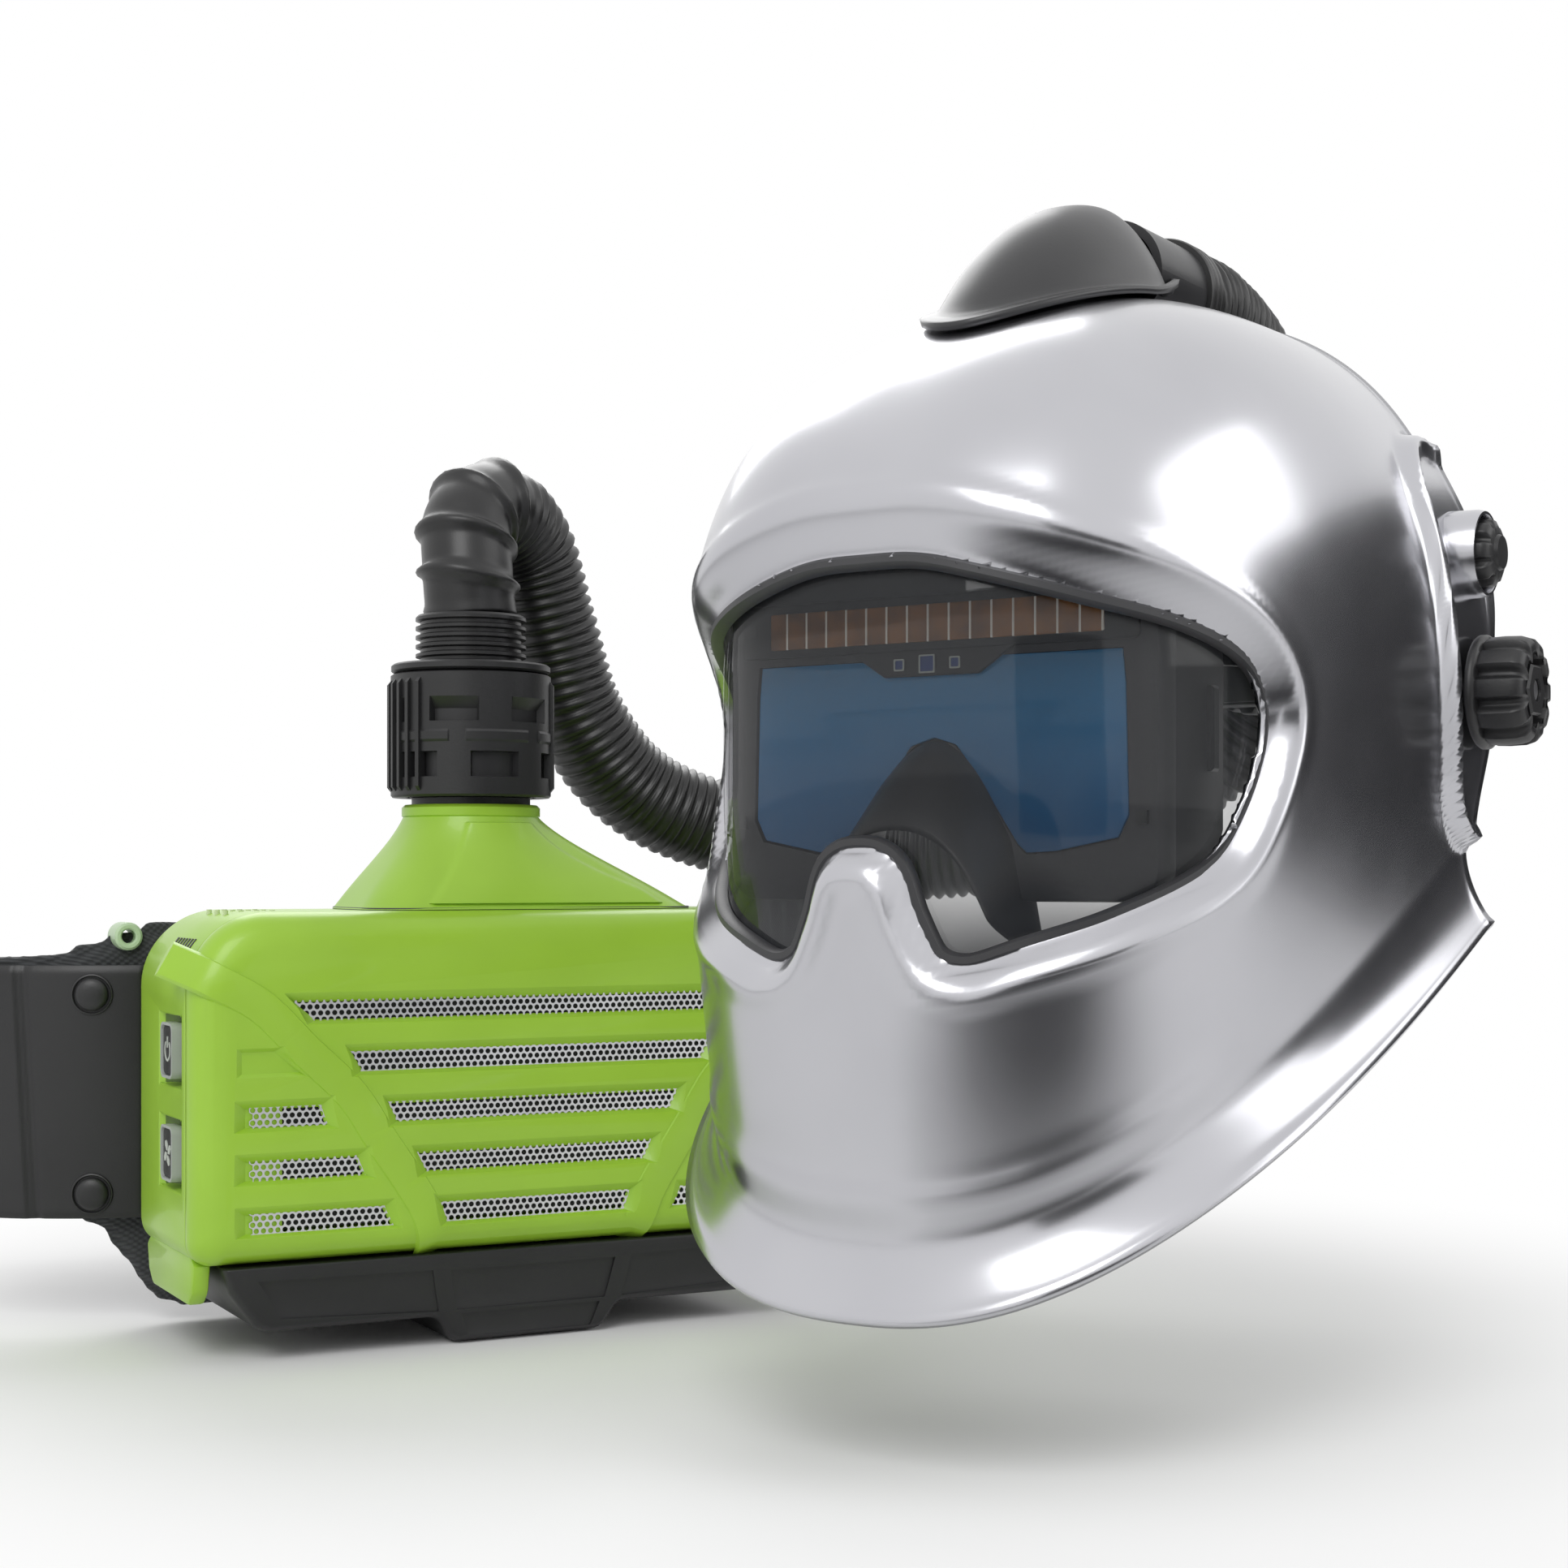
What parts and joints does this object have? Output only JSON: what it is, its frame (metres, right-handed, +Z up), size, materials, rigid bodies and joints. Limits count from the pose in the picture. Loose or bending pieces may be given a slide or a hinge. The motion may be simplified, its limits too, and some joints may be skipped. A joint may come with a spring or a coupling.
{
  "type": "powered air respirator",
  "caption": "Belt-worn filter blower with battery and ribbed hose feeding a silver full-shell helmet with a wide lens and adjustable headgear.",
  "frame": {"origin": "centre of the battery's flat base, on the surface that the unit stands on", "axes": "+Z up, -Y out of the blower's front cover, +X towards the wearer's left of the blower, as seen in the picture on the right"},
  "size_m": [0.5465, 0.6415, 0.4174],
  "materials": {
    "lime_plastic": "vivid satin lime green",
    "screen_steel": "perforated steel",
    "filter_fleece": "white filter fleece",
    "filter_media": "pleated filter paper",
    "black_plastic": "fine satin black",
    "dark_plastic": "dark grey satin",
    "motor_steel": "machined steel",
    "board_green": "circuit board",
    "green_recess": "dark green satin",
    "grey_key": "soft grey key",
    "light_lens": "pale light guide",
    "cell_wrap": "shrink-wrapped cell",
    "steel": "plain steel",
    "hose_rubber": "satin black ribbed hose",
    "mirror_shell": "mirror silver coating",
    "dome_plastic": "smooth dark grey",
    "clear_lens": "clear cover lens",
    "filter_blue": "dark blue filter glass",
    "solar_amber": "amber solar cell",
    "headgear_plastic": "flexible dark plastic",
    "foam": "soft black pad",
    "seal_cloth": "woven face seal",
    "belt_cloth": "textured belt fabric",
    "webbing": "woven webbing",
    "eyelet_green": "pale green ring"
  },
  "bodies": {
    "casing": {"rear_housing": "lime_plastic", "prefilter": "filter_fleece", "particle_filter": "filter_media", "fan_scroll": "dark_plastic", "fan_motor": "motor_steel", "control_board": "board_green", "keypad_frame": "green_recess", "indicator_lights": "light_lens", "outlet_neck": "lime_plastic", "outlet_ring": "black_plastic", "casing_screws": "steel", "coupling_body": "black_plastic", "lower_cuff": "hose_rubber", "breathing_hose": "hose_rubber", "upper_cuff": "hose_rubber", "inlet_elbow": "dome_plastic", "helmet_shell": "mirror_shell", "air_dome": "dome_plastic", "air_channel": "dark_plastic", "cover_lens": "clear_lens", "lens_gasket": "dark_plastic", "filter_frame": "dark_plastic", "filter_glass": "filter_blue", "solar_strip": "solar_amber", "sensor_windows": "black_plastic", "nose_piece": "black_plastic", "lens_clips": "black_plastic", "side_pods": "mirror_shell", "shade_cup": "mirror_shell", "face_seal": "seal_cloth", "belt_pad": "belt_cloth", "belt_plate_left": "black_plastic", "belt_plate_right": "black_plastic", "belt_rivets": "black_plastic", "belt_eyelets": "eyelet_green", "belt_hangers": "black_plastic", "waist_strap": "webbing", "buckle_socket": "black_plastic", "buckle_tongue": "black_plastic"},
    "fan": {"fan_rotor": "dark_plastic"},
    "power_key": {"power_button": "grey_key"},
    "speed_key": {"fan_speed_button": "grey_key"},
    "cover": {"front_cover": "lime_plastic", "spark_screen": "screen_steel"},
    "battery": {"battery_case": "black_plastic", "battery_cells": "cell_wrap"},
    "latch": {"battery_latch": "lime_plastic", "latch_hook": "lime_plastic"},
    "sleeve": {"coupling_sleeve": "black_plastic"},
    "headgear": {"headband": "headgear_plastic", "crown_straps": "headgear_plastic", "headgear_arms": "headgear_plastic", "ratchet_housing": "black_plastic", "brow_pad": "foam", "pivot_bolt_left": "steel", "pivot_bolt_right": "steel"},
    "ratchet": {"ratchet_knob": "black_plastic"},
    "knob_left": {"pivot_knob_left": "black_plastic"},
    "knob_right": {"pivot_knob_right": "black_plastic"},
    "shade": {"shade_knob": "black_plastic"}
  },
  "joints": [
    {"name": "fan_spin", "type": "hinge", "parent": "casing", "child": "fan", "pos_m": [-0.038, 0, 0.095], "axis": [0, 1, 0], "continuous": true},
    {"name": "power_press", "type": "slide", "parent": "casing", "child": "power_key", "axis": [1, 0, 0], "range_m": [0, 0.001], "stiffness_N_per_m": 400, "springref_m": -0.001},
    {"name": "speed_press", "type": "slide", "parent": "casing", "child": "speed_key", "axis": [1, 0, 0], "range_m": [0, 0.001], "stiffness_N_per_m": 400, "springref_m": -0.001},
    {"name": "cover_pull", "type": "slide", "parent": "casing", "child": "cover", "axis": [0, -1, 0], "range_m": [0, 0.018]},
    {"name": "battery_slide", "type": "slide", "parent": "casing", "child": "battery", "axis": [0, -1, 0], "range_m": [0, 0.06]},
    {"name": "latch_pull", "type": "slide", "parent": "casing", "child": "latch", "axis": [-1, 0, 0], "range_m": [0, 0.003], "stiffness_N_per_m": 500, "springref_m": -0.002},
    {"name": "sleeve_turn", "type": "hinge", "parent": "casing", "child": "sleeve", "pos_m": [-0.006, 0.01, 0.235], "axis": [0, 0, 1], "range_deg": [0, 45]},
    {"name": "headgear_tilt", "type": "hinge", "parent": "casing", "child": "headgear", "pos_m": [0.184, -0.194, 0.243], "axis": [0.4695, -0.8829, 0], "range_deg": [0, 55]},
    {"name": "ratchet_turn", "type": "hinge", "parent": "headgear", "child": "ratchet", "pos_m": [0.2617, -0.15269, 0.262], "axis": [0.8829, 0.4695, 0], "continuous": true},
    {"name": "pivot_left_turn", "type": "hinge", "parent": "headgear", "child": "knob_left", "pos_m": [0.24503, -0.30878, 0.243], "axis": [0.4695, -0.8829, 0], "continuous": true},
    {"name": "pivot_right_turn", "type": "hinge", "parent": "headgear", "child": "knob_right", "pos_m": [0.12297, -0.07922, 0.243], "axis": [0.4695, -0.8829, 0], "continuous": true},
    {"name": "shade_turn", "type": "hinge", "parent": "casing", "child": "shade", "pos_m": [0.23857, -0.30089, 0.29], "axis": [0.4695, -0.8829, 0], "range_deg": [0, 270]}
  ]
}
